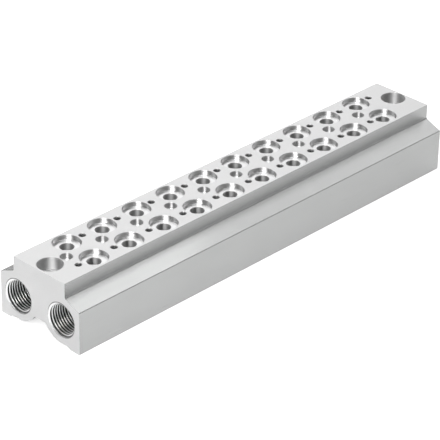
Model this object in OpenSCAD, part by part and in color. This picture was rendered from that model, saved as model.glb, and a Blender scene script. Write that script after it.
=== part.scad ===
// Connection block for a row of valves: one length of extruded bar, drilled and tapped.
// X runs along the block, Y across it and Z up. The origin is the middle of the underside.
// Lengths are in millimetres.

/* [Stations] */
// Number of valve stations along the block
stations = 10; // [2:1:16]
// Distance from one station to the next
station_pitch = 27; // [26:0.5:40]
// Distance from each end face to the nearest station
end_margin = 31; // [30.5:0.5:60]

/* [Extruded section] */
// Width over the two sides
block_w = 64; // [63:0.5:90]
// Height from the feet to the valve face
block_h = 41; // [40:0.5:60]
// Width of the raised cap that carries the valve face
cap_w = 41.5; // [41:0.5:55]
// Height of the upright sides of the cap
cap_side_h = 9.5; // [6:0.5:10.5]
// Fall of each shoulder from the foot of the cap to the side
shoulder_fall = 4.5; // [2:0.5:6]
// Radius in the corner where the cap stands on the shoulder
cap_foot_r = 1.2; // [0.4:0.1:2.5]
// Radius along the outer edge of each shoulder
shoulder_edge_r = 0.7; // [0.2:0.1:2]
// Radius along the outer edge of each foot
base_edge_r = 0.9; // [0.2:0.1:2]
// Width of the flat sole of each foot
foot_w = 7; // [4:0.5:9]
// Width of the slope on the inner side of each foot
foot_slope_w = 2.5; // [0.5:0.1:4]
// Height of the channel between the two duct walls
channel_h = 8.8; // [5:0.1:12]
// Radius in the upper corners of that channel
channel_corner_r = 1.2; // [0.4:0.1:2]

/* [Ducts and ports] */
// Distance between the centrelines of the two ducts
duct_spacing = 35; // [33:0.5:36]
// Diameter of each duct, which is also the tapping size of its ports
duct_d = 18.6; // [14:0.1:19.6]
// Thickness of the wall below and between the ducts
duct_wall = 5.7; // [4.5:0.1:7]
// Clearance under the duct walls when the block stands on its feet
duct_clearance = 1.5; // [0.5:0.1:4]
// Major diameter of the port thread, G 1/2
port_thread_d = 20.955; // [20:0.005:22]
// Depth of the full port thread from the end face
port_thread_depth = 15; // [8:0.5:18]
// Depth of the bevel at the mouth of each port
port_bevel = 0.45; // [0.1:0.05:1.5]

/* [Valve seats] */
// Distance between the two rows of seats
seat_spacing = 22; // [20:0.5:22.5]
// Diameter of the counterbore that takes the sealing ring
seat_d = 16.4; // [12:0.1:17.4]
// Depth of the counterbore
seat_depth = 2.8; // [1:0.1:5]
// Diameter of the drilling from the seat down into the duct
seat_bore_d = 8; // [4:0.1:11]

/* [Locating holes] */
// Diameter of the blind hole on the centreline beside each station
locator_d = 7; // [3:0.1:7.4]
// Depth of its straight wall
locator_depth = 3.5; // [3:0.5:14]
// Distance from the station back to this hole
locator_offset = 10.5; // [10:0.1:10.9]

/* [Valve screws] */
// Major diameter of the thread in the two screw holes at each station, M4
screw_thread_d = 4; // [3.4:0.1:4.1]
// Depth of that thread
screw_thread_depth = 8; // [4:0.5:9]
// Core diameter of the drilling that the thread is cut in
screw_core_d = 3.3; // [2:0.1:3.3]
// Depth of that drilling
screw_drill_depth = 11; // [10:0.5:13]
// Distance of each hole from its station along the block
screw_dx = 11.7; // [11:0.1:12.5]
// Distance of each hole from the middle of the block
screw_dy = 11; // [8:0.1:15]
// Diameter of the countersink at the mouth
screw_mouth_d = 4.4; // [4.2:0.1:5]

/* [Mounting holes] */
// Distance of each mounting hole from its end face
mount_inset = 8.5; // [8.3:0.1:9]
// Diameter of the counterbore for the screw head, M8
mount_head_d = 14.8; // [10:0.1:15.8]
// Depth of the counterbore
mount_head_depth = 7.6; // [3:0.1:10]
// Diameter of the clearance hole for the screw, M8
mount_bore_d = 9; // [4:0.1:9.8]

/* [Machining] */
// Depth of the small bevel that breaks the edge of each bored mouth
edge_break = 0.3; // [0.05:0.05:0.4]
// Included angle of the drill points, in degrees
drill_point_angle = 118; // [90:1:140]

/* [Hidden] */
$fn = 96;
overlap = 1;
fillet_bite = 0.02;

block_l = (stations - 1) * station_pitch + 2 * end_margin;
cap_foot_z = block_h - cap_side_h;
shoulder_z = cap_foot_z - shoulder_fall;
duct_y = duct_spacing / 2;
duct_wall_r = duct_d / 2 + duct_wall;
duct_z = duct_clearance + duct_wall_r;
foot_inner_y = block_w / 2 - foot_w;
runout = (port_thread_d - duct_d) / 2;

function unit(v) = v / norm(v);
function station_x(i) = (i - (stations - 1) / 2) * station_pitch;

// A copy on each side of the middle of the section.
module both_sides() {
    children();
    mirror([1, 0]) children();
}

// The sliver between a corner and the arc that rounds it. The two edges leave the corner along a and b.
module corner_sliver(corner, a, b, r) {
    angle = acos(a * b);
    reach = r / tan(angle / 2);
    inward = unit(a + b);
    centre = corner + inward * r / sin(angle / 2);
    difference() {
        polygon([corner + a * reach, corner - inward * overlap, corner + b * reach, centre]);
        translate(centre) circle(r = r);
    }
}

// Cap, shoulders and sides, with their corners rounded.
module outer_section() {
    cap_foot = [cap_w / 2, cap_foot_z];
    shoulder = [block_w / 2, shoulder_z];
    base = [block_w / 2, 0];
    down_slope = unit(shoulder - cap_foot);
    difference() {
        union() {
            polygon([
                [-block_w / 2, 0], [block_w / 2, 0], shoulder, cap_foot, [cap_w / 2, block_h],
                [-cap_w / 2, block_h], [-cap_w / 2, cap_foot_z], [-block_w / 2, shoulder_z]
            ]);
            both_sides() corner_sliver(cap_foot, [0, 1], down_slope, cap_foot_r);
        }
        both_sides() corner_sliver(shoulder, -down_slope, [0, -1], shoulder_edge_r);
        both_sides() corner_sliver(base, [0, 1], [-1, 0], base_edge_r);
    }
}

// Fillet between the roof of the channel and the round wall of a duct. It bites into that wall by a hair, so
// that the two arcs cross at a definite point.
module channel_fillet() {
    duct_centre = [duct_y, duct_z];
    drop = duct_z - channel_h;
    corner = [duct_y - sqrt(pow(duct_wall_r, 2) - pow(drop, 2)), channel_h];
    reach = duct_wall_r + channel_corner_r - fillet_bite;
    centre = duct_centre - [
        sqrt(pow(reach, 2) - pow(drop + channel_corner_r, 2)),
        drop + channel_corner_r
    ];
    in_duct_wall = duct_centre + unit(centre - duct_centre) * (duct_wall_r - overlap);
    difference() {
        polygon([[centre[0], channel_h], corner + [0, overlap], in_duct_wall, centre]);
        translate(centre) circle(r = channel_corner_r);
    }
}

// What the underside leaves open: the relief between the feet and the channel between the duct walls.
module underside_gap() {
    difference() {
        union() {
            polygon([
                [-foot_inner_y, -overlap], [foot_inner_y, -overlap], [foot_inner_y, 0],
                [foot_inner_y - foot_slope_w, duct_clearance],
                [-foot_inner_y + foot_slope_w, duct_clearance], [-foot_inner_y, 0]
            ]);
            translate([-duct_y, -overlap]) square([duct_spacing, channel_h + overlap]);
        }
        both_sides() translate([duct_y, duct_z]) circle(r = duct_wall_r);
        both_sides() channel_fillet();
    }
}

// The section of the bar, with the two ducts that run through it.
module bar_section() {
    difference() {
        outer_section();
        underside_gap();
        both_sides() translate([duct_y, duct_z]) circle(d = duct_d);
    }
}

module bar() {
    rotate([90, 0, 90]) linear_extrude(height = block_l, center = true) bar_section();
}

// Outline points of a round cutter, as [radius, height], with its mouth at height 0 and the hole below it.
function mouth(d, bevel) = [[0, overlap], [d / 2 + bevel + overlap, overlap], [d / 2, -bevel]];
function step_down(d, next_d, depth, bevel) = [
    [d / 2, -depth],
    [next_d / 2 + bevel, -depth],
    [next_d / 2, -depth - bevel]
];
function drill_end(d, depth) = [[d / 2, -depth], [0, -depth - d / 2 / tan(drill_point_angle / 2)]];

// A cutter turned from such an outline.
module turned_cut(outline) {
    rotate_extrude() polygon(outline);
}

// Port thread space: a bevel, a bore at the major diameter and a run-out down to the duct.
module port_cut() {
    turned_cut(concat(mouth(port_thread_d, port_bevel), [
        [port_thread_d / 2, -port_thread_depth],
        [duct_d / 2, -port_thread_depth - runout],
        [0, -port_thread_depth - runout]
    ]));
}

// The four ports, one at each end of each duct.
module ports() {
    for (end = [-1, 1], side = [-1, 1])
        translate([end * block_l / 2, side * duct_y, duct_z]) rotate([0, end * 90, 0]) port_cut();
}

// A counterbored seat, drilled through into the duct below it.
module seat_cut() {
    turned_cut(concat(
        mouth(seat_d, edge_break),
        step_down(seat_d, seat_bore_d, seat_depth, edge_break),
        drill_end(seat_bore_d, block_h - duct_z)
    ));
}

// Screw thread space: a countersink, a bore at the major diameter and the drilling left below it.
module screw_cut() {
    countersink = (screw_mouth_d - screw_thread_d) / 2;
    turned_cut(concat(
        mouth(screw_thread_d, countersink),
        [
            [screw_thread_d / 2, -screw_thread_depth],
            [screw_core_d / 2, -screw_thread_depth - (screw_thread_d - screw_core_d) / 2]
        ],
        drill_end(screw_core_d, screw_drill_depth)
    ));
}

module locator_cut() {
    turned_cut(concat(mouth(locator_d, edge_break), drill_end(locator_d, locator_depth)));
}

// What one valve needs: a seat on each side, a screw at two opposite corners and the locating hole.
module station() {
    for (side = [-1, 1]) {
        translate([0, side * seat_spacing / 2, 0]) seat_cut();
        translate([side * screw_dx, side * screw_dy, 0]) screw_cut();
    }
    translate([-locator_offset, 0, 0]) locator_cut();
}

// A counterbored hole right through, near each end.
module mounting_holes() {
    for (end = [-1, 1])
        translate([end * (block_l / 2 - mount_inset), 0, 0])
            turned_cut(concat(
                mouth(mount_head_d, edge_break),
                step_down(mount_head_d, mount_bore_d, mount_head_depth, edge_break),
                [[mount_bore_d / 2, -block_h], [0, -block_h]]
            ));
}

module connection_block() {
    color("gainsboro") difference() {
        bar();
        ports();
        translate([0, 0, block_h]) {
            for (i = [0 : stations - 1]) translate([station_x(i), 0, 0]) station();
            mounting_holes();
        }
    }
}

connection_block();
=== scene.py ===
"""The looks of the connection block: satin aluminium, cut threads and a plain pale studio.

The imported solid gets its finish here, and its ports and screw holes get their threads. Lengths in the classes
are in millimetres, apart from those of the lamps and the floor, which are in metres.
"""

import functools
import logging
import math
from dataclasses import dataclass
from enum import Enum
from typing import Any, Sequence

import bmesh
import bpy
from mathutils import Matrix, Vector


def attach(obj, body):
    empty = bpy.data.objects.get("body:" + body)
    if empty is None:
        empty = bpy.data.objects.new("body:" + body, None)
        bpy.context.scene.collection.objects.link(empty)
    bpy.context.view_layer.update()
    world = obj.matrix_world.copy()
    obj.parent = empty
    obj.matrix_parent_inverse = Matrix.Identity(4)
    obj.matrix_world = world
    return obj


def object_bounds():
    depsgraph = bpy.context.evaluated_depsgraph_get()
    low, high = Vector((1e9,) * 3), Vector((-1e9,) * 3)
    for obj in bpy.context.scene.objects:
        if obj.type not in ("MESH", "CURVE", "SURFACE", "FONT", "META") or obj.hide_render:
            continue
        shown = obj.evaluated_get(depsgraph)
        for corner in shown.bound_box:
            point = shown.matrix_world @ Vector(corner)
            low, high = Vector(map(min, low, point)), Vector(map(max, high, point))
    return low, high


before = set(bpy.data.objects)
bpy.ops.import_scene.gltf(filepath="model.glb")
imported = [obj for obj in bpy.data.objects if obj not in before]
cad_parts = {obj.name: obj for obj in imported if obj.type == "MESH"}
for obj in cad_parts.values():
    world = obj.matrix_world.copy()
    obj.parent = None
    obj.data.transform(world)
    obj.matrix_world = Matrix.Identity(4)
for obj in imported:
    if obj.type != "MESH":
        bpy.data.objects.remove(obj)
CAD_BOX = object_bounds()

log = logging.getLogger("connection_block")

Socket = bpy.types.NodeSocket
MM = 0.001  # a millimetre in metres
BODY = "root"
BLOCK_NODE = "connection_block"
RISE = "rise"  # the attribute that says how high on its ridge a point of a thread lies
INWARD = "inward"  # the attribute that holds the direction from a mouth into its hole
FLOOR = "studio_floor"


class Axis(Enum):
    """The three directions of the block: along it, across it and up."""

    ALONG = (1.0, 0.0, 0.0)
    ACROSS = (0.0, 1.0, 0.0)
    UP = (0.0, 0.0, 1.0)


class Blended(Enum):
    """What a Mix node blends: its data type, its first input's number and its output's."""

    NUMBER = ("FLOAT", 2, 0)
    VECTOR = ("VECTOR", 4, 1)
    COLOUR = ("RGBA", 6, 2)


class Graph:
    """A node tree with short calls that add its nodes and wire them."""

    def __init__(self, tree: bpy.types.NodeTree) -> None:
        """Takes over a node tree."""
        self.tree = tree

    def wire(self, value: Any, socket: Socket) -> None:
        """Feeds a socket from another one, or sets its plain value.

        Args:
            value: An output socket, or a plain value.
            socket: The input socket to feed.
        """
        if isinstance(value, Socket):
            self.tree.links.new(value, socket)
        else:
            socket.default_value = value

    def add(self, kind: str, inputs: dict[Any, Any] | None = None, **settings: Any) -> bpy.types.Node:
        """Adds a node.

        Args:
            kind: The node's type name.
            inputs: Input names or numbers with what feeds them.
            **settings: The node's own settings.

        Returns:
            The new node.
        """
        node = self.tree.nodes.new(kind)
        for name, value in settings.items():
            setattr(node, name, value)
        for key, value in (inputs or {}).items():
            self.wire(value, node.inputs[key])
        return node

    def math(self, operation: str, *values: Any, clamp: bool = False) -> Socket:
        """Arithmetic on numbers.

        Args:
            operation: The Math node's operation.
            *values: Its inputs in order, as sockets or numbers.
            clamp: Whether the result is held between 0 and 1.

        Returns:
            The result.
        """
        node = self.add("ShaderNodeMath", dict(enumerate(values)), operation=operation, use_clamp=clamp)
        return node.outputs[0]

    def fold(self, operation: str, *values: Any) -> Socket:
        """The values joined by one operation, from the first to the last."""
        return functools.reduce(functools.partial(self.math, operation), values)

    def point(self, x: Any, y: Any, z: Any = 0.0) -> Socket:
        """A vector from its three parts."""
        return self.add("ShaderNodeCombineXYZ", {0: x, 1: y, 2: z}).outputs[0]

    def split(self, vector: Any) -> list[Socket]:
        """The three parts of a vector."""
        return list(self.add("ShaderNodeSeparateXYZ", {0: vector}).outputs)


@dataclass(frozen=True)
class Pattern:
    """A soft noise: how many of its features fit in one unit, and how many finer layers it has."""

    scale: float
    detail: float


class ShaderGraph(Graph):
    """A shader tree, with masks and patterns."""

    def vector(self, operation: str, *values: Any) -> Socket:
        """Arithmetic on vectors with a vector as its result."""
        return self.add("ShaderNodeVectorMath", dict(enumerate(values)), operation=operation).outputs[0]

    def length(self, vector: Any) -> Socket:
        """The length of a vector."""
        return self.add("ShaderNodeVectorMath", {0: vector}, operation="LENGTH").outputs["Value"]

    def scaled(self, vector: Any, gain: Any) -> Socket:
        """A vector or a colour times a number."""
        node = self.add("ShaderNodeVectorMath", {"Vector": vector, "Scale": gain}, operation="SCALE")
        return node.outputs["Vector"]

    def magnitude(self, value: Any) -> Socket:
        """The number without its sign."""
        return self.math("ABSOLUTE", value)

    def above(self, value: Any, level: float) -> Socket:
        """1 where the value is above the level, and 0 elsewhere."""
        return self.math("GREATER_THAN", value, level)

    def below(self, value: Any, level: float) -> Socket:
        """1 where the value is below the level, and 0 elsewhere."""
        return self.math("LESS_THAN", value, level)

    def all_of(self, *masks: Any) -> Socket:
        """1 where every mask is 1."""
        return self.fold("MULTIPLY", *masks)

    def any_of(self, *masks: Any) -> Socket:
        """1 where some mask is 1."""
        return self.fold("MAXIMUM", *masks)

    def none_of(self, mask: Any) -> Socket:
        """1 where the mask is 0."""
        return self.math("SUBTRACT", 1.0, mask)

    def noise(self, place: Any, pattern: Pattern) -> Socket:
        """A pattern's noise between 0 and 1, read at a place."""
        inputs = {"Vector": place, "Scale": pattern.scale, "Detail": pattern.detail}
        return self.add("ShaderNodeTexNoise", inputs).outputs[0]

    def blend(self, kind: Blended, mask: Any, low: Any, high: Any) -> Socket:
        """Goes from one value to another.

        Args:
            kind: What the values are.
            mask: 0 where the low value shows, and 1 where the high one does.
            low: The low value.
            high: The high value.

        Returns:
            The blended value.
        """
        data_type, first_input, output = kind.value
        inputs = {0: mask, first_input: low, first_input + 1: high}
        return self.add("ShaderNodeMix", inputs, data_type=data_type).outputs[output]


class GeometryGraph(Graph):
    """A geometry tree."""

    def kept_above(self, value: Any, limit: Any, squeeze: Any) -> Socket:
        """Holds a number near or above a limit, without making two different ones equal.

        Args:
            value: The number.
            limit: The limit.
            squeeze: How much of the distance below the limit is kept.

        Returns:
            The number where it is above the limit, and elsewhere one just below the limit.
        """
        short = self.math("SUBTRACT", value, limit)
        return self.math("MAXIMUM", value, self.math("MULTIPLY_ADD", short, squeeze, limit))


@dataclass(frozen=True)
class BlockSizes:
    """The sizes of the solid that the looks have to meet."""

    length: float = 305.0
    height: float = 41.0
    cap_width: float = 41.5
    stations: int = 10
    station_pitch: float = 27.0
    duct_spacing: float = 35.0
    duct_height: float = 16.5
    port_radius: float = 10.4775
    screw_across: float = 11.0
    screw_along: float = 11.7
    screw_mouth: float = 0.22  # how deep the countersink of a screw hole reaches
    seat_depth: float = 2.8
    seat_reach: float = 9.0  # beyond this distance from its station along the block, a hole is no seat
    mount_reach: float = 16.2  # how far in from its end face a mounting hole reaches
    mount_radius: float = 7.8
    locator_radius: float = 3.5
    locator_reach: float = 6.5  # how far from its station along the block a locating hole starts

    def station_x(self, number: int) -> float:
        """Where a station lies along the block, counted from 0."""
        return (number - (self.stations - 1) / 2) * self.station_pitch


@dataclass(frozen=True)
class Tone:
    """The colour and roughness of one kind of aluminium surface."""

    grey: float
    roughness: float
    tint: tuple[float, float, float] = (1.0, 1.0, 1.0)

    def colour(self) -> tuple[float, ...]:
        """The tone's linear colour with alpha."""
        return tuple(self.grey * part for part in self.tint) + (1.0,)


@dataclass(frozen=True)
class Zones:
    """Masks of the kinds of surface on the block. What none of them covers is as the die left it."""

    milled: Socket
    bored: Socket
    sunk: Socket
    located: Socket
    # drilled also carries a painted shade: a darker grey inside the screw holes and passages
    drilled: Socket
    turned: Socket
    # root is a painted shade at the bottom of the port threads
    root: Socket


@dataclass(frozen=True)
class ZoneMap:
    """Where the kinds of surface lie on the solid. Its margins are in millimetres."""

    sizes: BlockSizes
    level_normal: float = 0.8  # how far a surface's direction has to point up, or along the block
    face_margin: float = 0.1  # how near to a face counts as on it
    cap_floor: float = 5.0  # how far above the ducts' axes the holes in the cap are told apart
    port_margin: float = 0.48  # how far past the thread's major radius a port's surfaces reach
    root_shade_margin: float = 0.2  # how far inside the thread's major radius the painted shade of its root starts
    root_shade_start: float = 1.2  # how far behind the end face it starts
    seat_margin: float = 0.05  # how far below a seat's floor its passage starts
    locator_margin: float = 0.4  # how far past its radius a locating hole's surfaces reach

    def masks(self, graph: ShaderGraph, point: Any, normal: Any) -> Zones:
        """Tells the kinds of surface apart.

        Args:
            graph: The material's graph.
            point: The place on the block in millimetres.
            normal: The surface's direction there.

        Returns:
            Their masks.
        """
        s = self.sizes
        x, y, z = graph.split(point)
        off_middle, off_centreline = graph.magnitude(x), graph.magnitude(y)
        end_ward, _, upward = graph.split(normal)
        level = graph.above(upward, self.level_normal)
        end_face = graph.all_of(graph.above(graph.magnitude(end_ward), self.level_normal),
                                graph.above(off_middle, s.length / 2 - self.face_margin))
        top_face = graph.all_of(level, graph.above(z, s.height - self.face_margin))
        milled = graph.any_of(end_face, top_face)
        unmilled = graph.none_of(milled)

        in_cap = graph.all_of(graph.below(off_centreline, s.cap_width / 2 - self.face_margin),
                              graph.above(z, s.duct_height + self.cap_floor))
        off_axis = graph.length(graph.point(0.0, graph.math("SUBTRACT", off_centreline, s.duct_spacing / 2),
                                            graph.math("SUBTRACT", z, s.duct_height)))
        in_port = graph.below(off_axis, s.port_radius + self.port_margin)
        bored = graph.all_of(graph.any_of(in_cap, in_port), unmilled)
        in_hole = graph.all_of(bored, in_cap)
        turned = graph.all_of(in_cap, level, unmilled)
        # the bottom of the port threads, which gets a painted shade
        root = graph.all_of(in_port, graph.above(off_axis, s.port_radius - self.root_shade_margin), unmilled,
                            graph.below(off_middle, s.length / 2 - self.root_shade_start))

        place = graph.math("MULTIPLY_ADD", x, 1 / s.station_pitch, (s.stations - 1) / 2)
        off_station = graph.magnitude(graph.math("SUBTRACT", place, graph.math("ROUND", place)))
        beside_seat = graph.above(off_station, s.seat_reach / s.station_pitch)
        below_seat = graph.below(z, s.height - s.seat_depth - self.seat_margin)
        sunk = graph.all_of(in_hole, graph.above(off_middle, s.length / 2 - s.mount_reach))
        # the screw holes and the passages below the seats, whose darker grey is painted shade
        drilled = graph.all_of(in_hole, graph.above(off_centreline, s.mount_radius),
                               graph.below(z, s.height - s.screw_mouth),
                               graph.any_of(beside_seat, below_seat))
        located = graph.all_of(in_hole, graph.none_of(sunk),
                               graph.below(off_centreline, s.locator_radius + self.locator_margin),
                               graph.above(off_station, s.locator_reach / s.station_pitch))
        return Zones(milled, bored, sunk, located, drilled, turned, root)


def new_metal(name: str) -> tuple[bpy.types.Material, ShaderGraph, bpy.types.Node]:
    """Starts a metal's material.

    Args:
        name: The material's name.

    Returns:
        The material, its graph and its surface shader.
    """
    material = bpy.data.materials.new(name)
    material.use_nodes = True
    graph = ShaderGraph(material.node_tree)
    shader = next(n for n in material.node_tree.nodes if n.type == "BSDF_PRINCIPLED")
    shader.inputs["Metallic"].default_value = 1.0
    return material, graph, shader


@dataclass(frozen=True)
class BlockFinish:
    """Aluminium as the block shows it: extruded, milled and drilled surfaces, told apart by place, with painted
    shade in the deep holes and at the thread roots.
    """

    extruded: Tone = Tone(0.485, 0.25, (0.99, 1.0, 0.995))
    milled: Tone = Tone(0.86, 0.43)
    bored: Tone = Tone(0.56, 0.4)
    sunk: Tone = Tone(0.6, 0.88)  # the mounting holes
    located: Tone = Tone(0.62, 0.62)  # the locating holes
    drilled: Tone = Tone(0.45, 1.0)  # the screw holes and the passages below the seats, in a darker grey that paints the shade inside them
    turned: Tone = Tone(0.95, 0.36)  # level floors and the cones of the drill points
    root: Tone = Tone(0.12, 0.5)  # painted shade at the bottom of the port threads
    stretch: float = 1.0  # how far the highlights stretch, from 0 to 1
    flat_normal: float = 0.95  # a hole's floor that points up this far has the milled faces' highlights

    die_lines: Pattern = Pattern(2.2, 3.0)
    die_stretch: tuple[float, float, float] = (0.02, 1.0, 1.0)  # draws the die's lines out along the block
    clouds: Pattern = Pattern(0.05, 2.0)
    grain: Pattern = Pattern(3.0, 2.0)
    shade_base: float = 0.91
    shade_depth: float = 0.06  # how much each of the three patterns adds to it
    middle: float = 0.5  # the middle value of a pattern
    wear: float = 0.1  # how much the die's lines change the roughness
    grain_relief: float = 0.3  # the height of the grain as a share of the lines' height
    relief: float = 0.004  # the height of the lines in millimetres
    relief_strength: float = 0.4
    sizes: BlockSizes = BlockSizes()

    def build(self) -> bpy.types.Material:
        """Builds the material.

        Returns:
            The material for the solid.
        """
        material, graph, shader = new_metal("block_aluminium")
        point = graph.scaled(graph.add("ShaderNodeTexCoord").outputs["Object"], 1 / MM)
        normal = graph.add("ShaderNodeNewGeometry").outputs["Normal"]
        zones = ZoneMap(self.sizes).masks(graph, point, normal)
        graph.wire(self.lay(graph, normal, zones), shader.inputs["Tangent"])
        shader.inputs["Anisotropic"].default_value = self.stretch

        die_lines = graph.noise(graph.vector("MULTIPLY", point, self.die_stretch), self.die_lines)
        grain = graph.noise(point, self.grain)
        marks = graph.fold("ADD", die_lines, graph.noise(point, self.clouds), grain)
        shade = graph.math("MULTIPLY_ADD", marks, self.shade_depth, self.shade_base)
        layers = (
            (zones.milled, self.milled),
            (zones.bored, self.bored),
            (zones.sunk, self.sunk),
            (zones.located, self.located),
            (zones.drilled, self.drilled),
            (zones.turned, self.turned),
            (zones.root, self.root),
        )
        colour, roughness = self.extruded.colour(), self.extruded.roughness
        for zone, tone in layers:
            colour = graph.blend(Blended.COLOUR, zone, colour, tone.colour())
            roughness = graph.blend(Blended.NUMBER, zone, roughness, tone.roughness)
        graph.wire(graph.scaled(colour, shade), shader.inputs["Base Color"])
        uneven = graph.math("SUBTRACT", die_lines, self.middle)
        graph.wire(graph.math("MULTIPLY_ADD", uneven, self.wear, roughness), shader.inputs["Roughness"])
        relief = graph.math("MULTIPLY_ADD", grain, self.grain_relief, die_lines)
        bump = {"Height": relief, "Distance": self.relief * MM, "Strength": self.relief_strength}
        graph.wire(graph.add("ShaderNodeBump", bump).outputs[0], shader.inputs["Normal"])
        return material

    def lay(self, graph: ShaderGraph, normal: Any, zones: Zones) -> Socket:
        """The direction in which the highlights stretch: along a bore's axis, and elsewhere across the marks.

        Args:
            graph: The material's graph.
            normal: The surface's direction.
            zones: The kinds of surface.

        Returns:
            The tangent.
        """
        flat = graph.above(graph.split(normal)[2], self.flat_normal)
        on_flats = graph.vector("CROSS_PRODUCT", normal, Axis.ACROSS.value)
        tangent = graph.vector("CROSS_PRODUCT", normal, Axis.ALONG.value)
        tangent = graph.blend(Blended.VECTOR, zones.bored, tangent, Axis.UP.value)
        flats = graph.any_of(zones.milled, graph.all_of(zones.bored, flat))
        return graph.blend(Blended.VECTOR, flats, tangent, on_flats)


@dataclass(frozen=True)
class ThreadFinish:
    """Aluminium threads with painted shade: bright on the crests and darker down in the roots."""

    name: str
    tone: Tone
    root_shade_gain: float = 0.12  # how bright the painted shade leaves the roots beside the crests
    shaded_below: float = 0.35  # the share of the ridge's height up to which it is as darkly shaded as the root
    bright_above: float = 0.85  # the share above which it is as bright as the crest
    grain: Pattern = Pattern(900.0, 2.0)
    speckle: tuple[float, float] = (0.94, 1.02)  # the least and the most gain of the grain
    wear: float = 0.08  # how much the grain changes the roughness

    def build(self) -> bpy.types.Material:
        """Builds the material.

        Returns:
            The material for the threads.
        """
        material, graph, shader = new_metal(self.name)
        grain = graph.noise(graph.add("ShaderNodeTexCoord").outputs["Object"], self.grain)
        low, high = self.speckle
        speckle = graph.add("ShaderNodeMapRange", {"Value": grain, "To Min": low, "To Max": high})
        rise = graph.add("ShaderNodeAttribute", attribute_name=RISE).outputs["Fac"]
        # painted shade: the colour darkens from the crests down into the roots
        crests = {"Value": rise, "From Min": self.shaded_below, "From Max": self.bright_above,
                  "To Min": self.root_shade_gain, "To Max": 1.0}
        bright = graph.add("ShaderNodeMapRange", crests, interpolation_type="SMOOTHSTEP")
        gain = graph.math("MULTIPLY", speckle.outputs[0], bright.outputs[0])
        graph.wire(graph.scaled(self.tone.colour()[:3], gain), shader.inputs["Base Color"])
        rough = graph.math("MULTIPLY_ADD", grain, self.wear, self.tone.roughness - self.wear / 2)
        graph.wire(rough, shader.inputs["Roughness"])
        return material


@dataclass(frozen=True)
class ThreadForm:
    """The section of a thread and where it lies in its hole."""

    name: str
    major_d: float
    height: float
    pitch: float
    root_half_width: float
    crest_half_width: float
    crest_radius: float
    mouth_bevel: float
    mouth_slope: float  # how fast the cone that trims the start narrows with depth
    depth: float
    steps_per_turn: int

    @property
    def turns(self) -> float:
        """How many turns the thread has."""
        return (self.depth - self.root_half_width) / self.pitch


def grown(carrier: bpy.types.Object, tree: bpy.types.NodeTree, values: dict[str, Any],
          name: str) -> bpy.types.Object:
    """Runs a geometry tree on an object and keeps the result as a plain mesh.

    Args:
        carrier: The object whose mesh the tree starts from. It is removed.
        tree: The geometry tree.
        values: The tree's inputs by name.
        name: The name of the new piece.

    Returns:
        The new piece, at the origin.
    """
    modifier = carrier.modifiers.new("grow", "NODES")
    modifier.node_group = tree
    for item in tree.interface.items_tree:
        if item.item_type == "SOCKET" and item.in_out == "INPUT" and item.name in values:
            modifier[item.identifier] = values[item.name]
    carrier.update_tag()
    bpy.context.view_layer.update()
    evaluated = carrier.evaluated_get(bpy.context.evaluated_depsgraph_get())
    mesh = bpy.data.meshes.new_from_object(evaluated)
    mesh.name = name
    carrier.modifiers.remove(modifier)
    bpy.data.objects.remove(carrier)
    shell = bmesh.new()
    shell.from_mesh(mesh)
    bmesh.ops.recalc_face_normals(shell, faces=shell.faces)
    shell.to_mesh(mesh)
    shell.free()
    piece = bpy.data.objects.new(name, mesh)
    bpy.context.scene.collection.objects.link(piece)
    return piece


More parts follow.
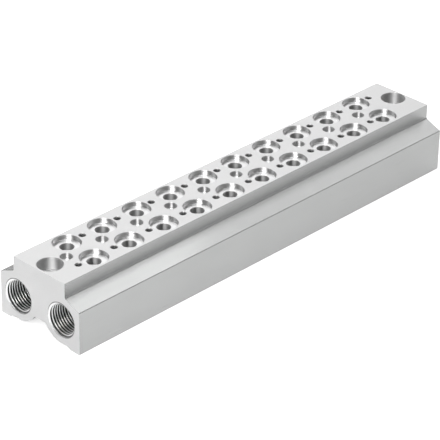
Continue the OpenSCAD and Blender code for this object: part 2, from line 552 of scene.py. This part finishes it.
@dataclass(frozen=True)
class ThreadSet:
    """The threads of several equal holes, made by one geometry tree."""

    form: ThreadForm
    mouths: Sequence[Vector]  # the middle of each hole's mouth
    inward: Sequence[Vector]  # the direction from each mouth into its hole
    embed: float = 0.12  # how far the foot of the ridge reaches into the solid
    run_out: float = 0.6  # turns over which the ridge fades
    mouth_cover: float = 0.1  # how far the trimmed start of the ridge stays behind the mouth's bevel
    face_cover: float = 0.03  # how far it stays behind the face
    squeeze: float = 0.02  # how much of its own form the trimmed stretch keeps
    crest_steps: int = 3  # how finely each corner of the section is rounded

    def values(self) -> dict[str, float]:
        """The tree's sizes by name, with lengths in metres.

        Returns:
            The names and the sizes.
        """
        form = self.form
        return {
            "Root Radius": form.major_d / 2 * MM,
            "Height": form.height * MM,
            "Pitch": form.pitch * MM,
            "Turns": form.turns,
            "Root Half Width": form.root_half_width * MM,
            "Crest Half Width": form.crest_half_width * MM,
            "Crest Radius": form.crest_radius * MM,
            "Mouth Radius": (form.major_d / 2 + form.mouth_bevel + self.mouth_cover) * MM,
            "Mouth Slope": form.mouth_slope,
            "Face Cover": self.face_cover * MM,
            "Squeeze": self.squeeze,
            "Embed": self.embed * MM,
            "Run Out": self.run_out,
        }

    def helix(self, g: GeometryGraph, given: Any) -> Socket:
        """The curve that the ridge follows, with a radius that fades the ridge out at its end.

        Args:
            g: The tree's graph.
            given: The tree's inputs.

        Returns:
            The curve.
        """
        foot_radius = g.math("ADD", given["Root Radius"], given["Embed"])
        spiral = g.add("GeometryNodeCurveSpiral", {
            "Resolution": given["Steps"], "Rotations": given["Turns"], "Start Radius": foot_radius,
            "End Radius": foot_radius, "Height": g.math("MULTIPLY", given["Turns"], given["Pitch"]),
            "Reverse": True})
        upright = g.add("GeometryNodeSetCurveNormal", {"Curve": spiral.outputs[0]}, mode="Z_UP")
        progress = g.math("MULTIPLY", g.add("GeometryNodeSplineParameter").outputs["Factor"], given["Turns"])
        left = g.math("SUBTRACT", given["Turns"], progress)
        fading = g.math("DIVIDE", left, given["Run Out"], clamp=True)
        radius = g.math("MAXIMUM", fading, given["Squeeze"])
        return g.add("GeometryNodeSetCurveRadius", {"Curve": upright.outputs[0], "Radius": radius}).outputs[0]

    def section(self, g: GeometryGraph, given: Any) -> Socket:
        """The closed outline of the ridge, with its foot on the helix.

        Args:
            g: The tree's graph.
            given: The tree's inputs.

        Returns:
            The outline.
        """
        reach = g.math("MULTIPLY", g.math("ADD", given["Height"], given["Embed"]), -1.0)
        root, crest = given["Root Half Width"], given["Crest Half Width"]
        corners = (
            g.point(0.0, g.math("MULTIPLY", root, -1.0)),
            g.point(reach, g.math("MULTIPLY", crest, -1.0)),
            g.point(reach, crest),
            g.point(0.0, root),
        )
        inputs = {f"Point {number}": corner for number, corner in enumerate(corners, start=1)}
        outline = g.add("GeometryNodeCurvePrimitiveQuadrilateral", inputs, mode="POINTS")
        fillet = {"Curve": outline.outputs[0], "Count": self.crest_steps, "Radius": given["Crest Radius"],
                  "Limit Radius": True}
        return g.add("GeometryNodeFilletCurve", fillet, mode="POLY").outputs[0]

    def trimmed(self, g: GeometryGraph, given: Any, ridge: Socket) -> Socket:
        """The ridge with its start held behind the mouth, and with its rise stored.

        Args:
            g: The tree's graph.
            given: The tree's inputs.
            ridge: The whole ridge.

        Returns:
            The trimmed ridge.
        """
        x, y, z = g.split(g.add("GeometryNodeInputPosition").outputs[0])
        radial = g.math("SQRT", g.math("ADD", g.math("MULTIPLY", x, x), g.math("MULTIPLY", y, y)))
        depth = g.kept_above(z, given["Face Cover"], given["Squeeze"])
        cone = g.math("SUBTRACT", given["Mouth Radius"], g.math("MULTIPLY", depth, given["Mouth Slope"]))
        reached = g.kept_above(radial, cone, given["Squeeze"])
        stretch = g.math("DIVIDE", reached, radial)
        inside = g.math("SUBTRACT", given["Root Radius"], radial)
        rise = g.math("DIVIDE", inside, given["Height"], clamp=True)
        marked = g.add("GeometryNodeStoreNamedAttribute", {"Geometry": ridge, "Name": RISE, "Value": rise},
                       data_type="FLOAT", domain="POINT")
        place = g.point(g.math("MULTIPLY", x, stretch), g.math("MULTIPLY", y, stretch), depth)
        moved = g.add("GeometryNodeSetPosition", {"Geometry": marked.outputs[0], "Position": place})
        return moved.outputs[0]

    def tree(self) -> bpy.types.NodeTree:
        """Builds the tree that sweeps a ridge along a helix and sets it in each hole.

        Returns:
            The geometry tree.
        """
        tree = bpy.data.node_groups.new(self.form.name + "_tree", "GeometryNodeTree")
        sockets = [("Mouths", "Geometry")]
        sockets += [(name, "Float") for name in self.values()]
        sockets += [("Steps", "Int"), ("Metal", "Material")]
        for name, kind in sockets:
            tree.interface.new_socket(name, in_out="INPUT", socket_type="NodeSocket" + kind)
        tree.interface.new_socket("Threads", in_out="OUTPUT", socket_type="NodeSocketGeometry")
        g = GeometryGraph(tree)
        given = g.add("NodeGroupInput").outputs
        swept = {"Curve": self.helix(g, given), "Profile Curve": self.section(g, given), "Fill Caps": True}
        ridge = self.trimmed(g, given, g.add("GeometryNodeCurveToMesh", swept).outputs[0])
        inward = g.add("GeometryNodeInputNamedAttribute", {"Name": INWARD}, data_type="FLOAT_VECTOR")
        turn = g.add("FunctionNodeAlignRotationToVector", {"Vector": inward.outputs[0]}, axis="Z")
        placed = g.add("GeometryNodeInstanceOnPoints", {
            "Points": given["Mouths"], "Instance": ridge, "Rotation": turn.outputs[0]})
        real = g.add("GeometryNodeRealizeInstances", {"Geometry": placed.outputs[0]})
        smooth = g.add("GeometryNodeSetShadeSmooth", {"Geometry": real.outputs[0], "Shade Smooth": True})
        metal = g.add("GeometryNodeSetMaterial", {"Geometry": smooth.outputs[0], "Material": given["Metal"]})
        g.add("NodeGroupOutput", {0: metal.outputs[0]})
        return tree

    def build(self, metal: bpy.types.Material) -> bpy.types.Object:
        """Makes the threads as one plain mesh.

        Args:
            metal: Their material.

        Returns:
            The piece, riding on the block.
        """
        mesh = bpy.data.meshes.new(self.form.name + "_mouths")
        mesh.from_pydata([mouth * MM for mouth in self.mouths], [], [])
        inward = mesh.attributes.new(INWARD, "FLOAT_VECTOR", "POINT")
        for item, direction in zip(inward.data, self.inward):
            item.vector = direction
        carrier = bpy.data.objects.new(self.form.name + "_mouths", mesh)
        bpy.context.scene.collection.objects.link(carrier)
        values = {**self.values(), "Steps": self.form.steps_per_turn, "Metal": metal}
        piece = grown(carrier, self.tree(), values, self.form.name)
        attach(piece, BODY)
        return piece


@dataclass(frozen=True)
class ConnectionBlock:
    """The block itself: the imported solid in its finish, and the threads in its holes."""

    sizes: BlockSizes = BlockSizes()
    port_thread: ThreadForm = ThreadForm(
        name="port_threads", major_d=20.955, height=1.16, pitch=1.814, root_half_width=0.756,
        crest_half_width=0.16, crest_radius=0.16, mouth_bevel=0.45, mouth_slope=2.0, depth=15.2,
        steps_per_turn=72)
    screw_thread: ThreadForm = ThreadForm(
        name="screw_threads", major_d=4.0, height=0.36, pitch=0.7, root_half_width=0.3,
        crest_half_width=0.09, crest_radius=0.04, mouth_bevel=0.2, mouth_slope=1.5, depth=8.1,
        steps_per_turn=24)
    port_metal: ThreadFinish = ThreadFinish("port_thread_metal", Tone(0.9, 0.3))
    # the screw threads' darker grey is painted shade for the inside of the small holes
    shaded_screw_metal: ThreadFinish = ThreadFinish("screw_thread_shaded_metal", Tone(0.3, 0.3))

    def dress(self) -> bpy.types.Object:
        """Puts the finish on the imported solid.

        Returns:
            The solid's object.
        """
        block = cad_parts[BLOCK_NODE]
        metal = BlockFinish(sizes=self.sizes).build()
        for slot in block.material_slots:
            slot.material = metal
        return block

    def port_threads(self) -> bpy.types.Object:
        """Cuts the threads of the four ports.

        Returns:
            The piece.
        """
        s = self.sizes
        ends = [(end, side) for end in (-1, 1) for side in (-1, 1)]
        mouths = [Vector((end * s.length / 2, side * s.duct_spacing / 2, s.duct_height))
                  for end, side in ends]
        inward = [Vector((-end, 0, 0)) for end, _ in ends]
        return ThreadSet(self.port_thread, mouths, inward).build(self.port_metal.build())

    def screw_threads(self) -> bpy.types.Object:
        """Cuts the threads of the two screw holes at each station.

        Returns:
            The piece.
        """
        s = self.sizes
        mouths = [Vector((s.station_x(i) + side * s.screw_along, side * s.screw_across, s.height))
                  for i in range(s.stations) for side in (-1, 1)]
        inward = [Vector((0, 0, -1))] * len(mouths)
        return ThreadSet(self.screw_thread, mouths, inward).build(self.shaded_screw_metal.build())


def heading(azimuth: float, elevation: float) -> Vector:
    """The direction at an azimuth and an elevation, both in degrees."""
    a, e = math.radians(azimuth), math.radians(elevation)
    return Vector((math.cos(a) * math.cos(e), math.sin(a) * math.cos(e), math.sin(e)))


@dataclass(frozen=True)
class Softbox:
    """One rectangular studio lamp that faces the block, with lengths in metres and angles in degrees."""

    name: str
    azimuth: float
    elevation: float
    distance: float
    width: float
    height: float
    radiance: float

    def place(self, aim: Vector) -> bpy.types.Object:
        """Hangs the lamp.

        Args:
            aim: The point that it faces.

        Returns:
            The lamp's object.
        """
        light = bpy.data.lights.new(self.name, "AREA")
        light.shape = "RECTANGLE"
        light.size, light.size_y = self.width, self.height
        light.energy = self.radiance * math.pi * self.width * self.height
        lamp = bpy.data.objects.new(self.name, light)
        bpy.context.scene.collection.objects.link(lamp)
        away = heading(self.azimuth, self.elevation)
        lamp.location = aim + away * self.distance
        lamp.rotation_euler = away.to_track_quat("Z", "Y").to_euler()
        return lamp


@dataclass(frozen=True)
class Viewpoint:
    """Where the camera stands and how it looks down, with lengths in millimetres and angles in degrees."""

    name: str = "studio_camera"
    position: tuple[float, float, float] = (-898.0, -847.1, 717.8)
    azimuth: float = 43.65
    elevation: float = 29.79
    roll: float = 0.99
    sensor: float = 36.0
    focal_pixels: float = 2408.0
    picture_pixels: float = 440.0
    near_limit: float = 50.0
    far_limit: float = 50000.0

    def place(self) -> bpy.types.Object:
        """Sets the camera up.

        Returns:
            The camera's object.
        """
        data = bpy.data.cameras.new(self.name)
        data.sensor_width = self.sensor
        data.lens = self.focal_pixels / self.picture_pixels * self.sensor
        data.clip_start, data.clip_end = self.near_limit * MM, self.far_limit * MM
        camera = bpy.data.objects.new(self.name, data)
        bpy.context.scene.collection.objects.link(camera)
        azimuth, roll = math.radians(self.azimuth), math.radians(self.roll)
        forward = heading(self.azimuth, -self.elevation)
        level = Vector((math.sin(azimuth), -math.cos(azimuth), 0.0))
        right = math.cos(roll) * level + math.sin(roll) * level.cross(forward)
        turn = Matrix((right, right.cross(forward), -forward)).transposed()
        camera.matrix_world = Matrix.Translation(Vector(self.position) * MM) @ turn.to_4x4()
        bpy.context.scene.camera = camera
        return camera


@dataclass(frozen=True)
class FloorFinish:
    """A matt pale floor that shows white to the camera and glows a little in the metal."""

    grey: float = 0.8
    glow: float = 0.16
    seen: float = 0.6

    def build(self) -> bpy.types.Material:
        """Builds the material.

        Returns:
            The floor's material.
        """
        material = bpy.data.materials.new(FLOOR)
        material.use_nodes = True
        material.node_tree.nodes.clear()
        graph = ShaderGraph(material.node_tree)
        path = graph.add("ShaderNodeLightPath").outputs
        mirrored = graph.any_of(path["Is Glossy Ray"], path["Is Transmission Ray"])
        matt = graph.add("ShaderNodeBsdfDiffuse", {"Color": (self.grey,) * 3 + (1.0,)})
        strength = graph.fold("ADD", graph.math("MULTIPLY", path["Is Camera Ray"], self.seen),
                              graph.math("MULTIPLY", mirrored, self.glow))
        glow = graph.add("ShaderNodeEmission", {"Strength": strength})
        both = graph.add("ShaderNodeAddShader", {0: matt.outputs[0], 1: glow.outputs[0]})
        graph.add("ShaderNodeOutputMaterial", {0: both.outputs[0]})
        return material


@dataclass(frozen=True)
class Studio:
    """The plain pale surroundings: a floor, a dim room and soft lamps. Its lengths are in metres."""

    floor_size: float = 12.0
    floor_finish: FloorFinish = FloorFinish()
    room_grey: float = 0.22
    room_strength: float = 1.0
    lamps: tuple[Softbox, ...] = (
        Softbox("back_softbox", 78.0, 41.0, 3.0, 2.8, 1.7, 1.0),
        Softbox("back_high_softbox", 76.0, 58.0, 3.0, 2.2, 1.3, 1.0),
        Softbox("top_softbox", 0.0, 89.0, 1.6, 0.9, 0.9, 1.0),
        Softbox("right_high_softbox", 1.0, 65.0, 1.5, 1.0, 0.6, 1.9),
        Softbox("right_softbox", 1.0, 43.0, 1.5, 1.0, 0.6, 1.25),
        Softbox("left_strip", 206.0, 42.0, 1.5, 0.72, 1.2, 8.5),
        Softbox("far_left_softbox", 130.0, 20.0, 1.6, 1.4, 0.9, 0.5),
    )

    def floor(self) -> bpy.types.Object:
        """Lays the floor, which keeps the block's shadow.

        Returns:
            The floor's object.
        """
        half = self.floor_size / 2
        corners = [(-half, -half, 0), (half, -half, 0), (half, half, 0), (-half, half, 0)]
        mesh = bpy.data.meshes.new(FLOOR)
        mesh.from_pydata(corners, [], [(0, 1, 2, 3)])
        mesh.materials.append(self.floor_finish.build())
        floor = bpy.data.objects.new(FLOOR, mesh)
        bpy.context.scene.collection.objects.link(floor)
        return floor

    def room(self) -> None:
        """Gives the room its dim even light."""
        world = bpy.data.worlds.new("studio_room")
        world.use_nodes = True
        background = next(n for n in world.node_tree.nodes if n.type == "BACKGROUND")
        background.inputs["Color"].default_value = (self.room_grey,) * 3 + (1.0,)
        background.inputs["Strength"].default_value = self.room_strength
        bpy.context.scene.world = world

    def build(self, aim: Vector) -> None:
        """Sets up the floor, the room and the lamps.

        Args:
            aim: The point that the lamps face.
        """
        self.room()
        self.floor()
        for lamp in self.lamps:
            lamp.place(aim)
        bpy.context.scene.view_settings.view_transform = "Standard"


def main() -> None:
    """Builds the studio and the block, in order, and reports each piece."""
    logging.basicConfig(level=logging.INFO, format="%(name)s: %(message)s")
    low, high = CAD_BOX
    Viewpoint().place()
    Studio().build((low + high) / 2)
    block = ConnectionBlock()
    for piece in (block.dress(), block.port_threads(), block.screw_threads()):
        log.info("%s ready, %d faces", piece.name, len(piece.data.polygons))


if __name__ == "__main__":
    main()
